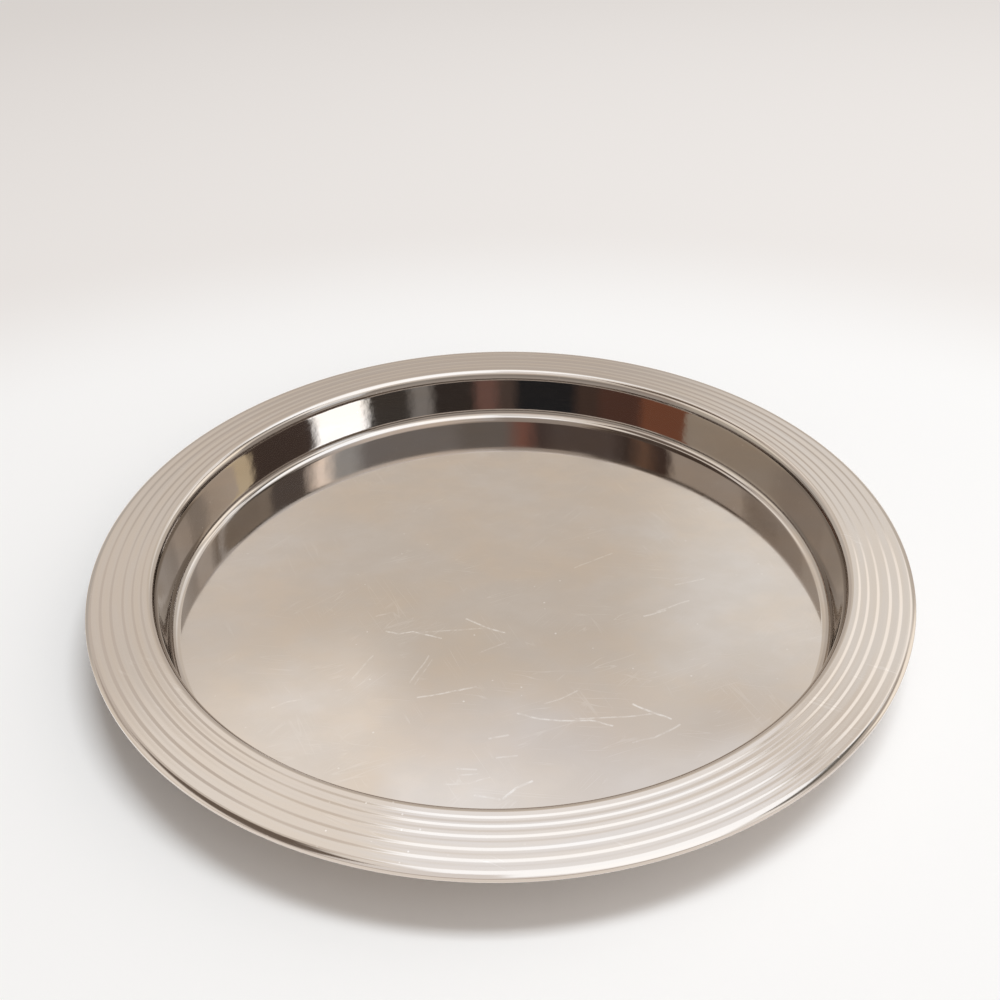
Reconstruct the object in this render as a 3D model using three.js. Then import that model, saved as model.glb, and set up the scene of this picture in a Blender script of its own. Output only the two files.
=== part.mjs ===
// Round serving tray: one pressed sheet with a grooved rim, its edge rolled over a wire.
// Millimetres, +Z up, origin at the centre of the base's underside.

import * as THREE from "three";

// Overall sizes
const trayDiameter = 350; // over the rolled edge
const trayHeight = 27.6; // base underside to the top of the rim
const sheet = 0.7; // thickness of the pressed sheet

// Bends between floor, wall and rim, measured on the show face
const wallDraft = 3.5; // degrees that the wall leans outward
const floorFillet = 5.3; // radius from floor to wall
const crestFillet = 5.2; // radius from wall to rim

// Rim bands, each measured from one groove line to the next, from the crest outward
const crestBand = 1.15; // end of the crest bend to the first line
const firstBand = 3.4;
const secondBand = 3.9;
const thirdBand = 4.7;
const fourthBand = 4.1;
const outerBand = 3.65; // last line to the middle of the rolled edge
const rimFall = 0.6; // height lost from the crest to the shoulder

// Groove lines pressed into the rim
const grooveDepth = 0.1;
const grooveIn = 1.0; // width of the steep side, towards the crest
const grooveOut = 2.2; // width of the gentle side, towards the edge

// Shoulder, rolled edge and the wire inside it
const shoulderRun = 1.1; // start of the shoulder to the middle of the rolled edge
const shoulderDrop = 0.37; // height lost before the roll
const rollLean = 16; // degrees that the sheet leans where the roll starts
const rollAngle = 264; // degrees that the sheet turns, which leaves a slit open inside
const wireDiameter = 1.4;
const wireClearance = 0.3; // gap between the wire and the roll

// Facets
const turnFacets = 64; // round the tray
const filletFacets = 4;
const crestFacets = 5;
const rollFacets = 10;
const wireFacets = 8;

const steelColour = 0xcdc3ba;
const wireColour = 0x9a9a9a;

// Places worked out from the sizes
const lineBands = [firstBand, secondBand, thirdBand, fourthBand, outerBand];
const draft = THREE.MathUtils.degToRad(wallDraft);
const lean = THREE.MathUtils.degToRad(rollLean);
const rollRadius = wireDiameter / 2 + wireClearance + sheet;
const rollCentre = new THREE.Vector2(
  trayDiameter / 2 - rollRadius,
  trayHeight - rimFall - shoulderDrop - rollRadius * Math.cos(lean)
);
const rimWidth = lineBands.reduce((sum, band) => sum + band, crestBand);
const crestCentre = new THREE.Vector2(rollCentre.x - rimWidth, trayHeight - crestFillet);

// Centre of the floor fillet, which is tangent to the floor and to the leaning wall
function floorFilletCentre() {
  const z = sheet + floorFillet;
  const across = (crestFillet + floorFillet) / Math.cos(draft);
  const leanOut = (crestCentre.y - z) * Math.tan(draft);
  return new THREE.Vector2(crestCentre.x - across - leanOut, z);
}

// Point of the show face, with the direction that the face looks in
function facePoint(point, look) {
  const normal = new THREE.Vector2(Math.cos(look), Math.sin(look));
  return { point, normal };
}

// Points on an arc of the show face. A hollow bend looks towards its centre.
function bend(centre, radius, fromAngle, toAngle, facets, hollow = false) {
  return Array.from({ length: facets + 1 }, (_, i) => {
    const angle = THREE.MathUtils.lerp(fromAngle, toAngle, i / facets);
    const reach = new THREE.Vector2(Math.cos(angle), Math.sin(angle)).multiplyScalar(radius);
    return facePoint(reach.add(centre), hollow ? angle + Math.PI : angle);
  });
}

// Places along the rim: both sides of each groove line, then the start of the shoulder
function rimPlaces() {
  const shoulder = rollCentre.x - shoulderRun;
  const level = (x) => {
    const share = (x - crestCentre.x) / (shoulder - crestCentre.x);
    return trayHeight - rimFall * share;
  };
  const at = (x, depth) => new THREE.Vector2(x, level(x) - depth);
  const places = [];
  let line = crestCentre.x + crestBand;
  for (const band of lineBands) {
    places.push(at(line - grooveIn, 0), at(line, grooveDepth), at(line + grooveOut, 0));
    line += band;
  }
  return [...places, at(shoulder, 0)];
}

// Rim from the crest to the roll, where each place looks square to the line past it
function rimFace(crestEnd, rollStart) {
  const chain = [crestEnd, ...rimPlaces(), rollStart];
  return chain.slice(1, -1).map((point, i) => {
    const run = chain[i + 2].clone().sub(chain[i]);
    return facePoint(point, run.angle() + Math.PI / 2);
  });
}

// Show face from the middle of the floor to the end of the rolled edge
function showFace() {
  const up = Math.PI / 2;
  const wallLook = Math.PI - draft;
  const roll = THREE.MathUtils.degToRad(rollAngle);
  const floorBend = bend(
    floorFilletCentre(), floorFillet, -up, wallLook - Math.PI, filletFacets, true
  );
  const crestBend = bend(crestCentre, crestFillet, wallLook, up, crestFacets);
  const edgeRoll = bend(rollCentre, rollRadius, up - lean, up - lean - roll, rollFacets);
  return [
    facePoint(new THREE.Vector2(0, sheet), up),
    ...floorBend,
    ...crestBend,
    ...rimFace(crestBend.at(-1).point, edgeRoll[0].point),
    ...edgeRoll
  ];
}

// Solid of revolution about Z, from a section that runs anticlockwise
function turned(section) {
  const geometry = new THREE.LatheGeometry(section, turnFacets);
  geometry.rotateX(Math.PI / 2);
  return geometry;
}

// The pressed sheet: underside outward, then the show face back to the axis
function trayPan() {
  const face = showFace();
  const underside = face.map(
    ({ point, normal }) => point.clone().addScaledVector(normal, -sheet)
  );
  const section = [...underside, ...face.map(({ point }) => point).reverse()];
  const steel = new THREE.MeshStandardMaterial({
    color: steelColour, metalness: 1, roughness: 0.14
  });
  const mesh = new THREE.Mesh(turned(section), steel);
  mesh.name = "tray_pan";
  return mesh;
}

// The wire hoop in the middle of the roll
function edgeWire() {
  const section = Array.from({ length: wireFacets + 1 }, (_, i) => {
    const angle = (2 * Math.PI * (i % wireFacets)) / wireFacets;
    return new THREE.Vector2(
      rollCentre.x + (wireDiameter / 2) * Math.cos(angle),
      rollCentre.y + (wireDiameter / 2) * Math.sin(angle)
    );
  });
  const drawnWire = new THREE.MeshStandardMaterial({
    color: wireColour, metalness: 1, roughness: 0.45
  });
  const mesh = new THREE.Mesh(turned(section), drawnWire);
  mesh.name = "edge_wire";
  return mesh;
}

const tray = new THREE.Group();
tray.add(trayPan(), edgeWire());

export default tray;
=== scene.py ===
import math
import bmesh
import bpy
from mathutils import Matrix, Vector


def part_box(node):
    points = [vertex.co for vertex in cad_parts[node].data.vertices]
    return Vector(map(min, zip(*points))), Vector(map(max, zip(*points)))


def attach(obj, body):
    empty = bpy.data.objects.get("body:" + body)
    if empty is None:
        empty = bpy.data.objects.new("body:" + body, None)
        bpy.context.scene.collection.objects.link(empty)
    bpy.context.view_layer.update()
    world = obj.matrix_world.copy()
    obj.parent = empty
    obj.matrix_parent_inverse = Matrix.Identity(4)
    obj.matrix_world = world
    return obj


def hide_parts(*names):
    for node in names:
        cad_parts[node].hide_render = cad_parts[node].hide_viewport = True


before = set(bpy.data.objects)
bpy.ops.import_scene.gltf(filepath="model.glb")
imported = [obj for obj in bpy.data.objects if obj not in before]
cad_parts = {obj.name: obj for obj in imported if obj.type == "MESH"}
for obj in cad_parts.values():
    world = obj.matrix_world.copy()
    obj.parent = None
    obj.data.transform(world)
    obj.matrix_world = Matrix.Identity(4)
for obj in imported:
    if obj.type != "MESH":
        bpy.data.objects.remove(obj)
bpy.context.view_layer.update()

mm = 0.001
scene = bpy.context.scene


# a value may be a number, a tuple or a socket to link
def feed(tree, socket, value):
    if isinstance(value, bpy.types.NodeSocket):
        tree.links.new(value, socket)
    else:
        socket.default_value = value


def put(tree, kind, values=None, **settings):
    made = tree.nodes.new(kind)
    for key, value in settings.items():
        setattr(made, key, value)
    for key, value in (values or {}).items():
        feed(tree, made.inputs[key], value)
    return made


def calc(tree, op, a, b=0.0):
    return put(tree, "ShaderNodeMath", {0: a, 1: b}, operation=op).outputs[0]


def vec(tree, op, a, b=(0, 0, 0)):
    made = put(tree, "ShaderNodeVectorMath", {0: a, 1: b}, operation=op)
    return made.outputs["Value" if op in ("LENGTH", "DOT_PRODUCT") else "Vector"]


def ramp(tree, value, fromLow, fromHigh, low=0.0, high=1.0):
    values = {0: value, 1: fromLow, 2: fromHigh, 3: low, 4: high}
    return put(tree, "ShaderNodeMapRange", values, interpolation_type="SMOOTHSTEP").outputs[0]


# soft round area in millimetres: its middle, and the distances that low and high belong to
def area(tree, point, middle, lowAt, highAt, low=0.0, high=1.0):
    reach = vec(tree, "LENGTH", vec(tree, "SUBTRACT", point, Vector(middle) * mm))
    return ramp(tree, reach, lowAt * mm, highAt * mm, low, high)


noiseMiddle = 0.5


def noise(tree, place, scale, detail=2.0, roughness=0.5):
    values = {"Vector": place, "Scale": scale, "Detail": detail, "Roughness": roughness}
    return put(tree, "ShaderNodeTexNoise", values).outputs[0]


def noiseShift(tree, place, scale):
    made = put(tree, "ShaderNodeTexNoise", {"Vector": place, "Scale": scale, "Detail": 1.0})
    return vec(tree, "SUBTRACT", made.outputs["Color"], (noiseMiddle, noiseMiddle, noiseMiddle))


def mixColour(tree, factor, a, b):
    made = put(tree, "ShaderNodeMix", data_type="RGBA")
    for key, value in (("Factor_Float", factor), ("A_Color", a), ("B_Color", b)):
        feed(tree, next(s for s in made.inputs if s.identifier == key), value)
    return next(s for s in made.outputs if s.identifier == "Result_Color")


def newGroup(name, inputs, output):
    tree = bpy.data.node_groups.new(name, "ShaderNodeTree")
    for label, kind in inputs:
        tree.interface.new_socket(name=label, in_out="INPUT", socket_type="NodeSocket" + kind)
    tree.interface.new_socket(name=output, in_out="OUTPUT", socket_type="NodeSocketFloat")
    given = tree.nodes.new("NodeGroupInput").outputs
    result = tree.nodes.new("NodeGroupOutput").inputs[0]
    return tree, given, result


def call(tree, group, values):
    return put(tree, "ShaderNodeGroup", values, node_tree=group).outputs[0]


# fine lines left by turning, round the axis
grainLook = {
    "hub": 0.1 * mm,        # least radius, at the axis
    "detail": 3.0,
    "roughness": 0.6,
    "range": (0.3, 0.7),    # what the streaks mostly lie between
}


def grainGroup():
    inputs = [("Point", "Vector"), ("Fine", "Float"), ("Along", "Float")]
    tree, given, result = newGroup("turnedGrain", inputs, "Streak")
    x, y, z = put(tree, "ShaderNodeSeparateXYZ", {0: given["Point"]}).outputs
    flat = put(tree, "ShaderNodeCombineXYZ", {0: x, 1: y}).outputs[0]
    radius = calc(tree, "MAXIMUM", vec(tree, "LENGTH", flat), grainLook["hub"])
    across = calc(tree, "MULTIPLY", calc(tree, "ADD", radius, z), given["Fine"])
    turn = calc(tree, "DIVIDE", given["Along"], radius)
    spin = [calc(tree, "MULTIPLY", axis, turn) for axis in (x, y)]
    place = put(tree, "ShaderNodeCombineXYZ", {0: spin[0], 1: spin[1], 2: across}).outputs[0]
    feed(tree, result, noise(tree, place, 1.0, grainLook["detail"], grainLook["roughness"]))
    return tree


# one light scratch between two places
scratchLook = {
    "shortest": 1e-10,      # least square of its length
    "edge": (1.0, 0.25),    # shares of the width where it starts and where it is full
}


def scratchGroup():
    inputs = [("Point", "Vector"), ("Start", "Vector"), ("End", "Vector"), ("Width", "Float")]
    tree, given, result = newGroup("scratchLine", inputs, "Mask")
    reach = vec(tree, "SUBTRACT", given["Point"], given["Start"])
    line = vec(tree, "SUBTRACT", given["End"], given["Start"])
    size = calc(tree, "MAXIMUM", vec(tree, "DOT_PRODUCT", line, line), scratchLook["shortest"])
    share = calc(tree, "DIVIDE", vec(tree, "DOT_PRODUCT", reach, line), size)
    share = calc(tree, "MINIMUM", calc(tree, "MAXIMUM", share, 0.0), 1.0)
    scaled = put(tree, "ShaderNodeVectorMath", {0: line, "Scale": share}, operation="SCALE")
    gap = vec(tree, "LENGTH", vec(tree, "SUBTRACT", reach, scaled.outputs[0]))
    feed(tree, result, ramp(tree, calc(tree, "DIVIDE", gap, given["Width"]), *scratchLook["edge"]))
    return tree


# short random hairlines in one direction
hairLook = {
    "stretch": (0.07, 1, 1),
    "edge": (0.016, 0.002),    # distance from the noise's middle where a line starts and is full
    "gapScale": 0.16,          # share of the density, for the noise that breaks the lines up
    "gaps": (0.54, 0.66),
}


def hairGroup():
    inputs = [("Point", "Vector"), ("Turn", "Float"), ("Density", "Float"), ("Seed", "Float")]
    tree, given, result = newGroup("hairlines", inputs, "Mask")
    shift = put(tree, "ShaderNodeCombineXYZ", {2: given["Seed"]}).outputs[0]
    place = vec(tree, "ADD", given["Point"], shift)
    values = {"Vector": place, "Angle": given["Turn"]}
    spun = put(tree, "ShaderNodeVectorRotate", values, rotation_type="Z_AXIS").outputs[0]
    drawn = vec(tree, "MULTIPLY", spun, hairLook["stretch"])
    level = calc(tree, "SUBTRACT", noise(tree, drawn, given["Density"], 1.0), noiseMiddle)
    line = ramp(tree, calc(tree, "ABSOLUTE", level), *hairLook["edge"])
    coarse = calc(tree, "MULTIPLY", given["Density"], hairLook["gapScale"])
    broken = ramp(tree, noise(tree, place, coarse), *hairLook["gaps"])
    feed(tree, result, calc(tree, "MULTIPLY", line, broken))
    return tree


# soft wiped areas
cloudLook = {
    "stretch": (0.7, 1, 1),
    "detail": 4.0,
    "roughness": 0.55,
    "edge": (0.34, 0.66),
}


def cloudGroup():
    inputs = [("Point", "Vector"), ("Scale", "Float")]
    tree, given, result = newGroup("wipedClouds", inputs, "Cloud")
    drawn = vec(tree, "MULTIPLY", given["Point"], cloudLook["stretch"])
    level = noise(tree, drawn, given["Scale"], cloudLook["detail"], cloudLook["roughness"])
    feed(tree, result, ramp(tree, level, *cloudLook["edge"]))
    return tree


# dust specks and tiny pits, in a share of the cells
speckLook = {
    "edge": (0.16, 0.06),    # distance from the cell's middle where a speck starts and is full
}


def speckGroup():
    inputs = [("Point", "Vector"), ("Scale", "Float"), ("Share", "Float")]
    tree, given, result = newGroup("specks", inputs, "Mask")
    cells = put(tree, "ShaderNodeTexVoronoi", {"Vector": given["Point"], "Scale": given["Scale"]})
    pick = put(tree, "ShaderNodeSeparateColor", {0: cells.outputs["Color"]}).outputs[0]
    chosen = calc(tree, "LESS_THAN", pick, given["Share"])
    dot = ramp(tree, cells.outputs["Distance"], *speckLook["edge"])
    feed(tree, result, calc(tree, "MULTIPLY", dot, chosen))
    return tree


grain = grainGroup()
scratch = scratchGroup()
hair = hairGroup()
clouds = cloudGroup()
specks = speckGroup()
print("node groups", len(bpy.data.node_groups))

steel = {
    "plain": (0.610, 0.543, 0.488, 1),
    "warm": (0.623, 0.539, 0.464, 1),
    "cool": (0.612, 0.560, 0.522, 1),
    "dull": (0.572, 0.514, 0.464, 1),
    "scratched": (0.95, 0.92, 0.89, 1),
    # painted shade: darker floor colour near the viewer
    "paintedShadeNear": (0.50, 0.43, 0.375, 1),
    # painted shade: the wall's colour is darker than the rest of the same steel sheet
    "wall": (0.365, 0.324, 0.292, 1),
    # painted shade: darkest wall colour, used at both ends of the wall
    "paintedShadeEnds": (0.235, 0.196, 0.166, 1),
    "wire": (0.50, 0.50, 0.50, 1),
}


def newMetal(name):
    mat = bpy.data.materials.new(name)
    mat.use_nodes = True
    tree = mat.node_tree
    shader = tree.nodes["Principled BSDF"]
    shader.inputs["Metallic"].default_value = 1
    return mat, tree, shader, put(tree, "ShaderNodeTexCoord").outputs["Object"]


def dress(tree, shader, tint, rough):
    feed(tree, shader.inputs["Base Color"], tint)
    feed(tree, shader.inputs["Roughness"], rough)


def raised(tree, shader, height, distance):
    bump = put(tree, "ShaderNodeBump", {"Height": height, "Distance": distance})
    feed(tree, shader.inputs["Normal"], bump.outputs[0])


# light marks on the floor in millimetres: width, strength and the places along each
marks = [
    (0.600, 0.80, [(-49.5, -33.5), (-44, -35.5), (-38, -34), (-32.5, -36), (-25.5, -38.5)]),
    (0.525, 0.50, [(-38, -35), (-26, -34), (-11, -33), (-6, -32)]),
    (0.675, 0.80, [(-15, -26.5), (-6.5, -32), (1.5, -35.5)]),
    (0.600, 0.70, [(6, -82.5), (14.5, -85.5), (22.5, -86.5), (34, -86.5), (42.5, -89.5)]),
    (0.525, 0.50, [(28.5, -85.5), (38, -85.5), (53.5, -84.5), (59, -84)]),
    (0.675, 0.80, [(51.5, -78.5), (59, -83.5), (65.5, -86.5)]),
    (0.600, 0.60, [(-34, -73), (-25, -71), (-10.5, -67.5)]),
    (0.525, 0.40, [(-37, -64.5), (-30.5, -49)]),
    (0.450, 0.30, [(-35, -65.5), (-29, -51.5)]),
    (0.525, 0.40, [(17, -77.5), (23, -75), (30.5, -70.5)]),
    (0.675, 0.55, [(62.5, -26.5), (72, -23)]),
    (0.600, 0.40, [(68.5, -23.5), (83, -17)]),
    (0.600, 0.40, [(49.5, -98), (58, -96), (68.5, -89.5)]),
    (0.675, 0.75, [(0, -123.5), (4.5, -119), (10.5, -116)]),
    (0.600, 0.40, [(-17, -109.5), (-10, -110)]),
    (0.525, 0.35, [(-16, -112.5), (-9.5, -112)]),
    (0.675, 0.40, [(-5, -95), (2, -93.5)]),
    (0.600, 0.35, [(-2.5, -104.5), (5, -104)]),
    (0.525, 0.30, [(-21.5, -116.5), (-12.5, -116.5), (-5, -114)]),
    (0.600, 0.30, [(-9, -47.5), (1.5, -42)]),
    (0.675, 0.35, [(-54.5, -23.5), (-47.5, -21)]),
    (0.600, 0.35, [(-61, -61.5), (-54, -48.5)]),
    (0.600, 0.30, [(-91, -77), (-85.5, -74), (-80, -73)]),
    (0.600, 0.30, [(79, -6), (92.5, -2)]),
    (0.600, 0.30, [(34.5, 7.5), (46.5, 14.5), (52.5, 18)]),
    (0.600, 0.35, [(-10.5, -122), (-1.5, -124)]),
]

floorLook = {
    "waver": 1.4 * mm,                      # how far the marks stray from straight lines
    "waverScale": 90.0,
    "breakScale": 420.0,                    # noise that breaks the marks up
    "breaks": (0.36, 0.6, 0.15, 0.58),      # noise from and to, then strength from and to
    "hairs": [
        {"Turn": 0.12, "Density": 230.0, "Seed": 0.3},
        {"Turn": -0.35, "Density": 260.0, "Seed": 0.7},
        {"Turn": 1.1, "Density": 210.0, "Seed": 1.3},
        {"Turn": 2.3, "Density": 240.0, "Seed": 2.1},
    ],
    "used": ((0, -55, 0), 120, 20, 0.05, 0.14),       # area with most hairlines and dust
    "dust": {"Scale": 260.0, "Share": 0.06},
    "dustLevel": 3.0,
    "wipedScale": 22.0,
    "smallScale": 75.0,
    "dull": 0.45,
    "paintedShadeNear": ((50, -125, 0), 70, 12, 0, 0.65),      # painted shade: darker area of the floor near the viewer
    "roughness": (0.055, 0.085),
    "wornRoughness": 0.25,
}


def floorFinish(level):
    mat, tree, shader, point = newMetal("mirrorFloor")
    waver = (floorLook["waver"], floorLook["waver"], 0)
    sway = vec(tree, "MULTIPLY", noiseShift(tree, point, floorLook["waverScale"]), waver)
    drawn = vec(tree, "ADD", point, sway)
    worn = 0.0
    for width, strength, line in marks:
        ends = [(x * mm, y * mm, level) for x, y in line]
        for start, end in zip(ends, ends[1:]):
            values = {"Point": drawn, "Start": start, "End": end, "Width": width * mm}
            mask = calc(tree, "MULTIPLY", call(tree, scratch, values), strength)
            worn = calc(tree, "MAXIMUM", worn, mask)
    broken = ramp(tree, noise(tree, point, floorLook["breakScale"]), *floorLook["breaks"])
    worn = calc(tree, "MULTIPLY", worn, broken)
    fine = 0.0
    for hairs in floorLook["hairs"]:
        fine = calc(tree, "MAXIMUM", fine, call(tree, hair, {"Point": point, **hairs}))
    used = area(tree, point, *floorLook["used"])
    dots = call(tree, specks, {"Point": point, **floorLook["dust"]})
    dots = calc(tree, "MULTIPLY", dots, calc(tree, "MULTIPLY", used, floorLook["dustLevel"]))
    faint = calc(tree, "MAXIMUM", calc(tree, "MULTIPLY", fine, used), dots)
    worn = calc(tree, "MAXIMUM", worn, faint)
    wiped = call(tree, clouds, {"Point": point, "Scale": floorLook["wipedScale"]})
    small = call(tree, clouds, {"Point": point, "Scale": floorLook["smallScale"]})
    tint = mixColour(tree, wiped, steel["warm"], steel["cool"])
    tint = mixColour(tree, calc(tree, "MULTIPLY", small, floorLook["dull"]), tint, steel["dull"])
    # painted shade: the floor darkens near the viewer
    tint = mixColour(tree, area(tree, point, *floorLook["paintedShadeNear"]), tint, steel["paintedShadeNear"])
    tint = mixColour(tree, worn, tint, steel["scratched"])
    rough = ramp(tree, small, 0, 1, *floorLook["roughness"])
    scraped = calc(tree, "MULTIPLY", worn, floorLook["wornRoughness"])
    dress(tree, shader, tint, calc(tree, "ADD", rough, scraped))
    return mat


wallLook = {
    "grain": {"Fine": 1500.0, "Along": 12.0},
    "dust": {"Scale": 380.0, "Share": 0.10},
    "dustLevel": 0.25,
    "paintedShadeAreas": [((-144, -20, 15), 95, 30), ((146, -40, 15), 60, 20)],    # painted shade: darker areas at both ends of the wall
    "roughness": (0.04, 0.08),
    "dentScale": 75.0,
    "dentStretch": (1, 1, 0.6),
    "rippleScale": 330.0,
    "ripple": 0.25,          # ripples and streaks as shares of the dents
    "streak": 0.02,
    "height": 0.08 * mm,
}


def wallFinish():
    mat, tree, shader, point = newMetal("brightWallPaintedShade")
    streak = call(tree, grain, {"Point": point, **wallLook["grain"]})
    dots = call(tree, specks, {"Point": point, **wallLook["dust"]})
    # painted shade: the wall starts from a darker copy of the steel
    tint = steel["wall"]
    # painted shade: the wall darkens towards both ends
    for paintedShadeArea in wallLook["paintedShadeAreas"]:
        tint = mixColour(tree, area(tree, point, *paintedShadeArea), tint, steel["paintedShadeEnds"])
    dusty = calc(tree, "MULTIPLY", dots, wallLook["dustLevel"])
    tint = mixColour(tree, dusty, tint, steel["scratched"])
    dress(tree, shader, tint, ramp(tree, streak, *grainLook["range"], *wallLook["roughness"]))
    drawn = vec(tree, "MULTIPLY", point, wallLook["dentStretch"])
    dents = noise(tree, drawn, wallLook["dentScale"])
    ripple = calc(tree, "MULTIPLY", noise(tree, point, wallLook["rippleScale"]), wallLook["ripple"])
    lines = calc(tree, "MULTIPLY", streak, wallLook["streak"])
    height = calc(tree, "ADD", calc(tree, "ADD", dents, ripple), lines)
    raised(tree, shader, height, wallLook["height"])
    return mat


rimLook = {
    "grain": {"Fine": 2200.0, "Along": 9.0},
    "bands": {"Fine": 260.0, "Along": 3.0},      # broad warm and cool rings
    "bandTint": (0.3, 0.7),
    "dust": {"Scale": 330.0, "Share": 0.22},
    "dusty": ((-45, -158, 27), 28, 12, 0.06, 0.55),
    "hair": {"Turn": 0.5, "Density": 300.0, "Seed": 4.0},
    "hairLevel": 0.12,
    "roughness": (0.06, 0.11),
    "wipedScale": 40.0,
    "wipedRoughness": 0.03,
    "height": 0.004 * mm,
}


def rimFinish():
    mat, tree, shader, point = newMetal("turnedRim")
    streak = call(tree, grain, {"Point": point, **rimLook["grain"]})
    broad = call(tree, grain, {"Point": point, **rimLook["bands"]})
    wiped = call(tree, clouds, {"Point": point, "Scale": rimLook["wipedScale"]})
    dots = call(tree, specks, {"Point": point, **rimLook["dust"]})
    dots = calc(tree, "MULTIPLY", dots, area(tree, point, *rimLook["dusty"]))
    fine = call(tree, hair, {"Point": point, **rimLook["hair"]})
    worn = calc(tree, "MAXIMUM", dots, calc(tree, "MULTIPLY", fine, rimLook["hairLevel"]))
    warmth = ramp(tree, broad, *grainLook["range"], *rimLook["bandTint"])
    tint = mixColour(tree, warmth, steel["warm"], steel["cool"])
    tint = mixColour(tree, worn, tint, steel["scratched"])
    rough = ramp(tree, streak, *grainLook["range"], *rimLook["roughness"])
    smeared = calc(tree, "MULTIPLY", wiped, rimLook["wipedRoughness"])
    dress(tree, shader, tint, calc(tree, "ADD", rough, smeared))
    raised(tree, shader, streak, rimLook["height"])
    return mat


edgeLook = {
    "grain": {"Fine": 1800.0, "Along": 14.0},
    "knocks": {"Scale": 420.0, "Share": 0.16},
    "knockLevel": 0.3,
    "roughness": (0.07, 0.12),
    "height": 0.006 * mm,
}


def edgeFinish():
    mat, tree, shader, point = newMetal("rolledEdge")
    streak = call(tree, grain, {"Point": point, **edgeLook["grain"]})
    knocks = call(tree, specks, {"Point": point, **edgeLook["knocks"]})
    bright = calc(tree, "MULTIPLY", knocks, edgeLook["knockLevel"])
    tint = mixColour(tree, bright, steel["plain"], steel["scratched"])
    dress(tree, shader, tint, ramp(tree, streak, *grainLook["range"], *edgeLook["roughness"]))
    raised(tree, shader, calc(tree, "SUBTRACT", streak, knocks), edgeLook["height"])
    return mat


backLook = {
    "grain": {"Fine": 1300.0, "Along": 7.0},
    "hair": {"Turn": 0.9, "Density": 220.0, "Seed": 7.0},
    "hairLevel": 0.3,
    "roughness": (0.24, 0.34),
    "wipedScale": 16.0,
    "wipedRoughness": 0.06,
    "height": 0.008 * mm,
}


def backFinish():
    mat, tree, shader, point = newMetal("satinBack")
    streak = call(tree, grain, {"Point": point, **backLook["grain"]})
    wiped = call(tree, clouds, {"Point": point, "Scale": backLook["wipedScale"]})
    fine = call(tree, hair, {"Point": point, **backLook["hair"]})
    tint = mixColour(tree, wiped, steel["warm"], steel["cool"])
    lines = calc(tree, "MULTIPLY", fine, backLook["hairLevel"])
    tint = mixColour(tree, lines, tint, steel["scratched"])
    rough = ramp(tree, streak, *grainLook["range"], *backLook["roughness"])
    smeared = calc(tree, "MULTIPLY", wiped, backLook["wipedRoughness"])
    dress(tree, shader, tint, calc(tree, "ADD", rough, smeared))
    raised(tree, shader, streak, backLook["height"])
    return mat


wire = {
    "clearance": 0.3 * mm,    # gap between the wire and the roll
    "sides": 16,
    "grain": {"Fine": 5000.0, "Along": 20.0},
    "roughness": (0.32, 0.48),
    "height": 0.01 * mm,
}


def wireFinish():
    mat, tree, shader, point = newMetal("drawnWire")
    streak = call(tree, grain, {"Point": point, **wire["grain"]})
    rough = ramp(tree, streak, *grainLook["range"], *wire["roughness"])
    dress(tree, shader, steel["wire"], rough)
    raised(tree, shader, streak, wire["height"])
    return mat


# the pressed sheet, measured on its show face; bends as radius and the tilt each arc ends at
pan = {
    "sheet": 0.7 * mm,
    "wallDraft": math.radians(3.5),
    "footBends": [(4.2 * mm, 55), (4.5 * mm, 68), (7.0 * mm, 86.5)],     # floor up into the wall
    "crestBends": [(2.9 * mm, 52), (6.1 * mm, 68), (9.0 * mm, 86.5)],    # rim down into the wall
    "edgeBends": [(4.2 * mm, 28), (5.5 * mm, 34), (0.5 * mm, 90)],       # rim out over the roll
    "crestBand": 2.62 * mm,           # end of the crest bend to the first line
    "bands": [3.4 * mm, 3.9 * mm, 4.7 * mm, 4.1 * mm, 3.65 * mm],    # crest outward, line to line
    "rimFall": 0.6 * mm,              # crest down to the shoulder
    "rimTilt": 1.7,                   # degrees
    "grooveDepth": 0.095 * mm,
    "grooveIn": 1.45 * mm,            # steep side, towards the crest
    "grooveOut": 2.25 * mm,           # gentle side, towards the edge
    "rollTurn": math.radians(190),    # from the outermost place, under and round the wire
    "floorRings": (0.0, 0.25, 0.5, 0.75, 0.95),
    "bendSteps": 12,
    "floorSteps": 15,                 # points of the foot bends that are finished as floor
    "wallSteps": 20,                  # points of the crest bends that are finished as wall
    "wallRings": 6,
    "rimSteps": 150,
    "rollSteps": 36,
    "turns": 360,
}


def steps(count):
    return [i / count for i in range(count + 1)]


def arcPoints(centre, radius, start, stop, count):
    angles = [start + (stop - start) * t for t in steps(count)]
    return [(centre[0] + radius * math.cos(a), centre[1] + radius * math.sin(a)) for a in angles]


# reach and drop along a run of arcs
def bendRun(bends, tilt=0.0):
    run, before = [(0.0, 0.0)], math.radians(tilt)
    for radius, angle in bends:
        x, z = run[-1]
        stop = math.radians(angle)
        for t in steps(pan["bendSteps"])[1:]:
            a = before + (stop - before) * t
            out = radius * (math.sin(a) - math.sin(before))
            down = radius * (math.cos(before) - math.cos(a))
            run.append((x + out, z + down))
        before = stop
    return run


def panPlaces():
    low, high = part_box("tray_pan")
    wireLow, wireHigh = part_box("edge_wire")
    wireRadius = (wireHigh.z - wireLow.z) / 2
    rollRadius = wireRadius + wire["clearance"] + pan["sheet"]
    roll = (-low.y - rollRadius, (wireHigh.z + wireLow.z) / 2)
    firstLine = roll[0] - sum(pan["bands"])
    places = {"wireRadius": wireRadius, "rollRadius": rollRadius, "roll": roll, "top": high.z}
    places["lines"] = [firstLine + sum(pan["bands"][:i]) for i in range(len(pan["bands"]))]
    places["crest"] = firstLine - pan["crestBand"]
    places["edge"] = -low.y - bendRun(pan["edgeBends"], pan["rimTilt"])[-1][0]
    return places


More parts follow.
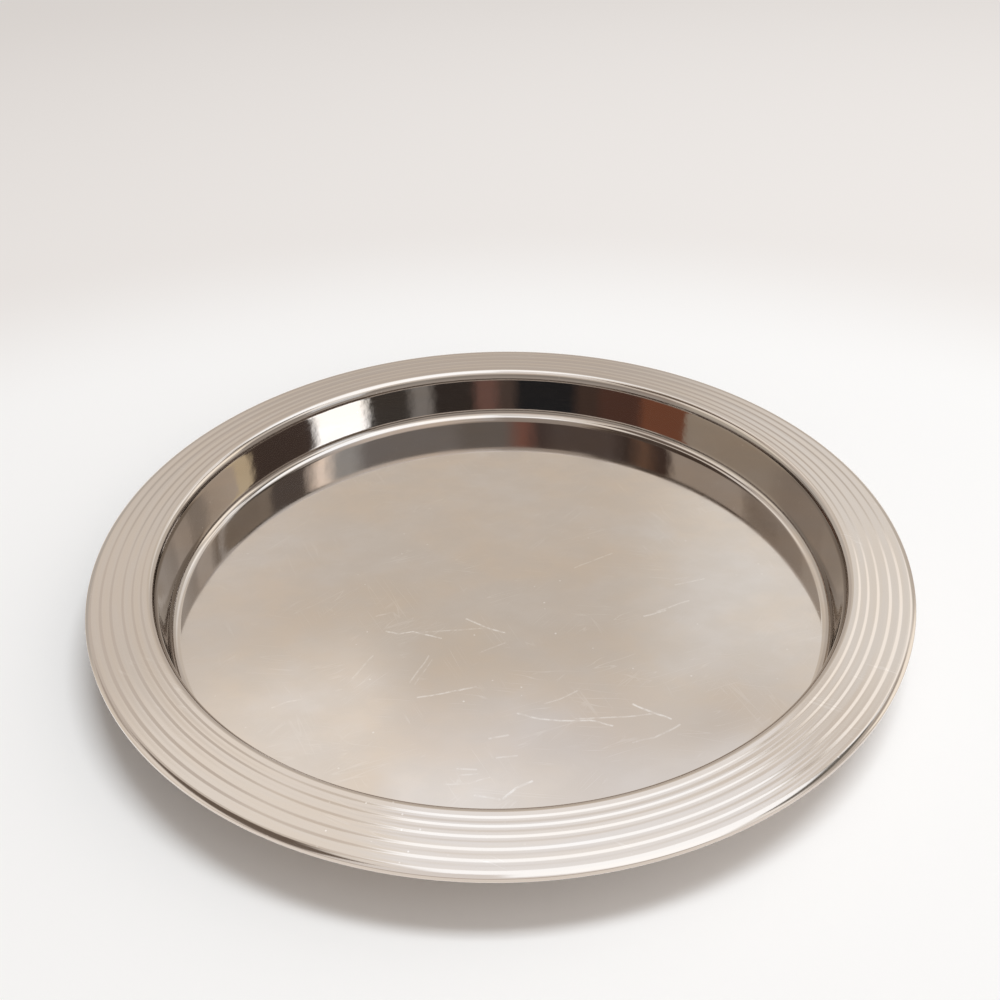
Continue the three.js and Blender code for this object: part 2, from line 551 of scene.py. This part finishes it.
def groove(u):
    reach = pan["grooveIn"] if u < 0 else pan["grooveOut"]
    return (1 + math.cos(math.pi * u / reach)) / 2 if abs(u) < reach else 0.0


def rimHeight(places, r):
    share = (r - places["crest"]) / (places["edge"] - places["crest"])
    pressed = pan["grooveDepth"] * sum(groove(r - line) for line in places["lines"])
    return places["top"] - pan["rimFall"] * share - pressed


# radius, height and finish from the middle of the floor to the end of the roll
def showFace(places):
    foot = bendRun(pan["footBends"])
    crest = bendRun(pan["crestBends"], -pan["rimTilt"])
    edge = bendRun(pan["edgeBends"], pan["rimTilt"])
    crestR, edgeR, top, sheet = places["crest"], places["edge"], places["top"], pan["sheet"]
    wallR, wallZ = crestR - crest[-1][0], top - crest[-1][1]
    rise = wallZ - sheet - foot[-1][1]
    lean = rise * math.tan(pan["wallDraft"])
    floorR = wallR - lean - foot[-1][0]
    face = [(floorR * t, sheet, "floor") for t in pan["floorRings"]]
    for i, (x, z) in enumerate(foot):
        face.append((floorR + x, sheet + z, "floor" if i < pan["floorSteps"] else "wall"))
    for t in steps(pan["wallRings"])[-2:0:-1]:
        face.append((wallR - lean * t, wallZ - rise * t, "wall"))
    for i, (x, z) in enumerate(reversed(crest)):
        face.append((crestR - x, top - z, "wall" if i < pan["wallSteps"] else "rim"))
    for t in steps(pan["rimSteps"])[1:]:
        r = crestR + (edgeR - crestR) * t
        face.append((r, rimHeight(places, r), "rim"))
    rimEnd = top - pan["rimFall"]
    face += [(edgeR + x, rimEnd - z, "edge") for x, z in edge[1:]]
    roll = arcPoints(places["roll"], places["rollRadius"], 0, -pan["rollTurn"], pan["rollSteps"])
    return face + [(r, z, "edge") for r, z in roll]


def offsetBack(face, depth):
    back = []
    for i, (r, z, zone) in enumerate(face):
        before, after = face[max(i - 1, 0)], face[min(i + 1, len(face) - 1)]
        dr, dz = after[0] - before[0], after[1] - before[1]
        size = math.hypot(dr, dz)
        back.append((max(r + dz / size * depth, 0.0), z - dr / size * depth, "back"))
    back[0] = (0.0, back[0][1], "back")
    return back


# a section turned round the axis, with one finish for each zone
def turned(name, section, turns, materials, closed):
    bm = bmesh.new()
    rows = []
    for r, z, zone in section:
        spokes = turns if r > 0 else 1
        angles = [2 * math.pi * i / turns for i in range(spokes)]
        rows.append([bm.verts.new((r * math.cos(a), r * math.sin(a), z)) for a in angles])
    pairs = list(zip(rows, rows[1:], section[1:]))
    if closed:
        pairs.append((rows[-1], rows[0], section[0]))
    slots = list(materials)
    for low, high, (r, z, zone) in pairs:
        for i in range(turns):
            j = (i + 1) % turns
            ring = [low[i % len(low)], low[j % len(low)], high[j % len(high)], high[i % len(high)]]
            corners = list(dict.fromkeys(ring))
            if len(corners) > 2:
                f = bm.faces.new(corners)
                f.smooth = True
                f.material_index = slots.index(zone)
    mesh = bpy.data.meshes.new(name)
    bm.to_mesh(mesh)
    bm.free()
    for zone in slots:
        mesh.materials.append(materials[zone])
    piece = bpy.data.objects.new(name, mesh)
    scene.collection.objects.link(piece)
    return piece


finishes = {
    "floor": floorFinish(pan["sheet"]),
    "wall": wallFinish(),
    "rim": rimFinish(),
    "edge": edgeFinish(),
    "back": backFinish(),
}
places = panPlaces()
face = showFace(places)
back = offsetBack(face, pan["sheet"])
trayPan = turned("trayPan", back + face[::-1], pan["turns"], finishes, False)
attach(trayPan, "root")
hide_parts("tray_pan")
print("tray pan", len(trayPan.data.polygons), "faces")

circle = arcPoints(places["roll"], places["wireRadius"], 0, 2 * math.pi, wire["sides"])
hoop = [(r, z, "hoop") for r, z in circle[:-1]]
edgeWire = turned("edgeWire", hoop, pan["turns"], {"hoop": wireFinish()}, True)
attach(edgeWire, "root")
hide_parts("edge_wire")
print("edge wire", len(edgeWire.data.polygons), "faces")

# camera at the photograph's viewing angle
view = {
    "distance": 483.0 * mm,
    "elevation": math.radians(35.27),
    "roll": math.radians(-1.0),
    "right": -0.1 * mm,
    "up": 36.26 * mm,
    "sensor": 36,
    "focal": 1.060,        # focal length as a share of the sensor's width
    "nearest": 10 * mm,
}


def placeCamera():
    e, roll = view["elevation"], view["roll"]
    upright = Vector((0, math.sin(e), math.cos(e)))
    backward = Vector((0, -math.cos(e), math.sin(e)))
    camRight = Vector((math.cos(roll), 0, 0)) + upright * math.sin(roll)
    camUp = upright * math.cos(roll) - Vector((math.sin(roll), 0, 0))
    place = backward * view["distance"] + camRight * view["right"] + camUp * view["up"]
    place.z += pan["sheet"]
    data = bpy.data.cameras.new("camera")
    data.sensor_width = view["sensor"]
    data.lens = view["sensor"] * view["focal"]
    data.clip_start = view["nearest"]
    camera = bpy.data.objects.new("camera", data)
    scene.collection.objects.link(camera)
    turn = Matrix((camRight, camUp, backward)).transposed()
    camera.matrix_world = Matrix.Translation(place) @ turn.to_4x4()
    scene.camera = camera


placeCamera()
print("camera", round(math.degrees(view["elevation"]), 2), "degrees above the table")

# studio that the metal mirrors: soft walls, a ceiling panel and a darker front; angles in degrees
studio = {
    "level": 0.755,
    "direct": 0.15,                   # share of the front that shows where metal mirrors it only once
    "plain": (0.87, 0.855, 0.85, 1),  # what the camera sees behind the table
    "shade": (1.0, 0.935, 0.88, 1),   # plain light in the shadows
    "shadeFrom": (0.85, -0.53, 0),
    "shadeRange": (0.03, 1.08),       # weakest and strongest
    "low": (0.90, 0.84, 0.78, 1),
    "middle": (1.10, 1.04, 0.96, 1),
    "high": (1.42, 1.42, 1.44, 1),
    "lowToMiddle": (27, 33.5),        # heights
    "middleToHigh": (43, 49),
    "stripSoft": 1.5,                 # softness between the colours of a strip, as a share of its own
    "stripInset": 0.45,               # most of a colour's width that may be soft on each side
    "sill": [  # low in front: from, to, colour
        (-72, -54, (0.713, 0.322, 0.207, 1)),
        (-54, -38, (0.333, 0.19, 0.161, 1)),
        (-38, -29, (0.241, 0.178, 0.161, 1)),
        (-29, -7, (0.069, 0.0805, 0.0978, 1)),
        (-7, 0, (0.31, 0.253, 0.241, 1)),
        (0, 8, (0.644, 0.414, 0.391, 1)),
        (8, 24, (0.149, 0.138, 0.138, 1)),
        (24, 32, (0.92, 0.989, 1.06, 1)),
        (32, 49, (0.207, 0.207, 0.207, 1)),
        (49, 70, (6.4, 7.4, 8.4, 1)),
        (70, 99, (0.241, 0.196, 0.184, 1)),
        (99, 107, (2.3, 2.18, 1.72, 1)),
    ],
    "open": [  # higher in front
        (-72, -63, (0.241, 0.178, 0.161, 1)),
        (-63, -57, (0.575, 0.38, 0.287, 1)),
        (-57, -49, (0.23, 0.184, 0.172, 1)),
        (-49, -20, (0.38, 0.333, 0.333, 1)),
        (-20, -14, (0.287, 0.23, 0.23, 1)),
        (-14, -6, (0.805, 0.437, 0.38, 1)),
        (-6, 16, (0.621, 0.632, 0.655, 1)),
        (16, 57, (0.77, 0.805, 0.862, 1)),
        (57, 70, (1.43, 1.61, 1.78, 1)),
        (70, 79, (4.0, 4.0, 4.0, 1)),
        (79, 99, (0.38, 0.356, 0.356, 1)),
    ],
    "patches": [  # side, from across and up, to across and up, softness, colour or strip
        ("back", 12, 27, 130, 60, 6, (1.42, 1.42, 1.40, 1)),
        ("back", 31, 29.5, 44, 50, 2.5, (1.9, 1.9, 1.87, 1)),
        ("back", 46, 33, 95, 47, 3, (0.90, 0.85, 0.78, 1)),
        ("back", 25, 8, 53, 24.5, 4, (0.97, 0.93, 0.86, 1)),
        ("back", 55, 8, 82, 33, 4, (1.88, 1.82, 1.70, 1)),
        ("back", 14, 43, 33, 50.3, 3, (1.20, 1.15, 1.09, 1)),
        ("back", -130, 29, -14, 42, 6, (1.20, 1.15, 1.09, 1)),
        ("back", -130, 43, -8.5, 75, 3, (1.53, 1.50, 1.45, 1)),
        ("back", -70, 24, -31.5, 57, 2.2, (1.06, 1.0, 0.94, 1)),
        ("back", -70, 57, -21.5, 70, 2.2, (1.20, 1.13, 1.05, 1)),
        ("back", -112, 30, -70, 44, 4, (1.5, 1.45, 1.38, 1)),
        ("back", -112, 5, -64, 30, 8, (1.36, 1.30, 1.18, 1)),
        ("back", -62, 5, -28, 24, 6, (0.86, 0.84, 0.80, 1)),
        ("ceiling", -0.105, 0.40, 0.28, 0.65, 0.015, (1.62, 1.68, 1.76, 1)),
        ("ceiling", -0.15, -0.06, 0.60, 0.485, 0.025, (2.12, 2.28, 2.45, 1)),
        ("ceiling", 0.0, -0.45, 0.60, 0.0, 0.03, (2.12, 2.28, 2.45, 1)),
        ("back", 33, 50.3, 50, 54, 1.2, (1.0, 0.95, 0.88, 1)),
        ("back", -125, 45, -52, 69, 3, (0.26, 0.21, 0.175, 1)),
        ("back", -72, 32, -51, 39.5, 2, (0.75, 0.68, 0.62, 1)),
        ("back", 50, 44, 100, 53, 2, (0.25, 0.24, 0.22, 1)),
        ("back", 52, 32, 75, 39.5, 2, (0.75, 0.70, 0.65, 1)),
        ("front", -72, 14, 107, 31, 1.2, "sill"),
        ("front", -72, 31, 99, 46, 2.5, "open"),
        ("front", -85, 46, -42, 60, 3, (0.38, 0.33, 0.31, 1)),
        ("front", 20, 52, 82, 84, 11, (2.6, 2.6, 2.6, 1)),
        ("front", -60, -6, 47, 13, 1.0, (1.70, 1.66, 1.62, 1)),
    ],
}


# colours side by side along one direction
def strip(tree, value, bands, soft):
    low, high = bands[0][0], bands[-1][1]
    share = put(tree, "ShaderNodeMapRange", {0: value, 1: low, 2: high}).outputs[0]
    made = put(tree, "ShaderNodeValToRGB", {0: share})
    stops = made.color_ramp.elements
    stops.remove(stops[1])
    stops[0].position, stops[0].color = 0, bands[0][2]
    for start, stop, tint in bands:
        inset = min(soft, (stop - start) * studio["stripInset"])
        for edge in (start + inset, stop - inset):
            stops.new((edge - low) / (high - low)).color = tint
    return made.outputs[0]


# soft rectangle
def patchGroup():
    inputs = [("U", "Float"), ("V", "Float"), ("Low U", "Float"), ("Low V", "Float"),
              ("High U", "Float"), ("High V", "Float"), ("Soft", "Float")]
    tree, given, result = newGroup("patch", inputs, "Mask")
    mask = 1.0
    for axis in "UV":
        for side, turn in (("Low ", 1), ("High ", -1)):
            gap = calc(tree, "SUBTRACT", given[axis], given[side + axis])
            share = calc(tree, "DIVIDE", calc(tree, "MULTIPLY", gap, turn), given["Soft"])
            mask = calc(tree, "MULTIPLY", mask, ramp(tree, share, -1, 1))
    feed(tree, result, mask)
    return tree


# colours by direction; the front is faint where a ray has met the metal only once
def mirroredColour(tree, place, rayDepth):
    x, y, z = put(tree, "ShaderNodeSeparateXYZ", {0: place}).outputs
    degrees = math.degrees(1)
    height = calc(tree, "MULTIPLY", calc(tree, "ARCSINE", z), degrees)
    behind = calc(tree, "MULTIPLY", calc(tree, "ARCTAN2", x, y), degrees)
    ahead = calc(tree, "MULTIPLY", calc(tree, "ARCTAN2", x, calc(tree, "MULTIPLY", y, -1)), degrees)
    across = {"back": (behind, height), "front": (ahead, height), "ceiling": (x, y)}
    once, twice = 2, 3    # depth in the world's nodes after one reflection and after two
    values = {0: rayDepth, 1: once, 2: twice, 3: studio["direct"], 4: 1}
    frontShare = put(tree, "ShaderNodeMapRange", values).outputs[0]
    patch = patchGroup()
    lower = ramp(tree, height, *studio["lowToMiddle"])
    upper = ramp(tree, height, *studio["middleToHigh"])
    colour = mixColour(tree, lower, studio["low"], studio["middle"])
    colour = mixColour(tree, upper, colour, studio["high"])
    for side, lowU, lowV, highU, highV, soft, tint in studio["patches"]:
        u, v = across[side]
        if isinstance(tint, str):
            tint = strip(tree, u, studio[tint], soft * studio["stripSoft"])
        values = {"U": u, "V": v, "Low U": lowU, "Low V": lowV, "High U": highU, "High V": highV}
        mask = call(tree, patch, {**values, "Soft": soft})
        if side == "front":
            mask = calc(tree, "MULTIPLY", mask, frontShare)
        colour = mixColour(tree, mask, colour, tint)
    return colour


def buildWorld():
    world = bpy.data.worlds.new("studio")
    scene.world = world
    world.use_nodes = True
    world.cycles.sampling_method = "NONE"
    tree = world.node_tree
    tree.nodes.clear()
    place = put(tree, "ShaderNodeTexCoord").outputs["Generated"]
    path = put(tree, "ShaderNodeLightPath").outputs
    colour = mirroredColour(tree, place, path["Ray Depth"])
    glossy = put(tree, "ShaderNodeBackground", {0: colour, 1: studio["level"]})
    lit = vec(tree, "DOT_PRODUCT", place, studio["shadeFrom"])
    strength = ramp(tree, lit, -1, 1, *studio["shadeRange"])
    shade = put(tree, "ShaderNodeBackground", {0: studio["shade"], 1: strength})
    plain = put(tree, "ShaderNodeBackground", {0: studio["plain"]})
    values = {0: path["Is Glossy Ray"], 1: shade.outputs[0], 2: glossy.outputs[0]}
    mirror = put(tree, "ShaderNodeMixShader", values)
    values = {0: path["Is Camera Ray"], 1: mirror.outputs[0], 2: plain.outputs[0]}
    seen = put(tree, "ShaderNodeMixShader", values)
    put(tree, "ShaderNodeOutputWorld", {0: seen.outputs[0]})


buildWorld()
print("studio", len(studio["patches"]), "patches")

# pale table; areas in millimetres
tableLook = {
    "radius": 5,
    "sides": 96,
    "drop": 0.1 * mm,                       # gap to the tray's underside
    "near": (0.93, 0.925, 0.92, 1),
    # painted pool of light: the darker table colour outside the pool
    "dimOutsidePool": (0.83, 0.80, 0.78, 1),
    "paintedLightPool": ((0, -270, 0), 500, 720),       # painted pool of light: the table darkens from near to far
    "haze": ((0, 0, 0), 1300, 3200),        # into the background
    "mirrored": (1.07, 1.035, 1.0, 1),      # its tone in the metal
    "roughness": 0.8,
}


def tableFinish():
    mat = bpy.data.materials.new("paleTable")
    mat.use_nodes = True
    tree = mat.node_tree
    shader = tree.nodes["Principled BSDF"]
    point = put(tree, "ShaderNodeTexCoord").outputs["Object"]
    # painted pool of light: paler near the tray, darker further back
    paintedLightPool = area(tree, point, *tableLook["paintedLightPool"])
    tint = mixColour(tree, paintedLightPool, tableLook["near"], tableLook["dimOutsidePool"])
    dress(tree, shader, tint, tableLook["roughness"])
    shader.inputs["Specular IOR Level"].default_value = 0
    mirrored = put(tree, "ShaderNodeEmission", {0: tableLook["mirrored"]})
    horizon = put(tree, "ShaderNodeEmission", {0: studio["plain"]})
    path = put(tree, "ShaderNodeLightPath").outputs
    inMetal = calc(tree, "GREATER_THAN", path["Is Glossy Ray"], path["Diffuse Depth"])
    values = {0: inMetal, 1: shader.outputs[0], 2: mirrored.outputs[0]}
    both = put(tree, "ShaderNodeMixShader", values)
    haze = calc(tree, "MULTIPLY", area(tree, point, *tableLook["haze"]), path["Is Camera Ray"])
    values = {0: haze, 1: both.outputs[0], 2: horizon.outputs[0]}
    shown = put(tree, "ShaderNodeMixShader", values)
    feed(tree, tree.nodes["Material Output"].inputs[0], shown.outputs[0])
    return mat


bm = bmesh.new()
bmesh.ops.create_circle(bm, cap_ends=True, segments=tableLook["sides"], radius=tableLook["radius"])
mesh = bpy.data.meshes.new("table")
bm.to_mesh(mesh)
bm.free()
mesh.materials.append(tableFinish())
table = bpy.data.objects.new("table", mesh)
table.location.z = -tableLook["drop"]
scene.collection.objects.link(table)
print("table", tableLook["radius"], "m radius")

lamp = {
    "place": (0.70, 0.05, 3.0),
    "size": (1.7, 0.6),
    "level": 0.535,     # share of white that it puts on the table
    "colour": (0.90, 0.955, 1.0),
}


def hangLamp():
    data = bpy.data.lights.new("overhead", "AREA")
    data.shape = "RECTANGLE"
    data.size, data.size_y = lamp["size"]
    data.color = lamp["colour"]
    reach, height = Vector(lamp["place"]).length, lamp["place"][2]
    data.energy = lamp["level"] * math.pi ** 2 * reach ** 4 / height ** 2
    overhead = bpy.data.objects.new("overhead", data)
    scene.collection.objects.link(overhead)
    overhead.location = lamp["place"]
    overhead.visible_glossy = False


hangLamp()
print("lamp", lamp["place"][2], "m up")

scene.view_settings.view_transform = "Standard"
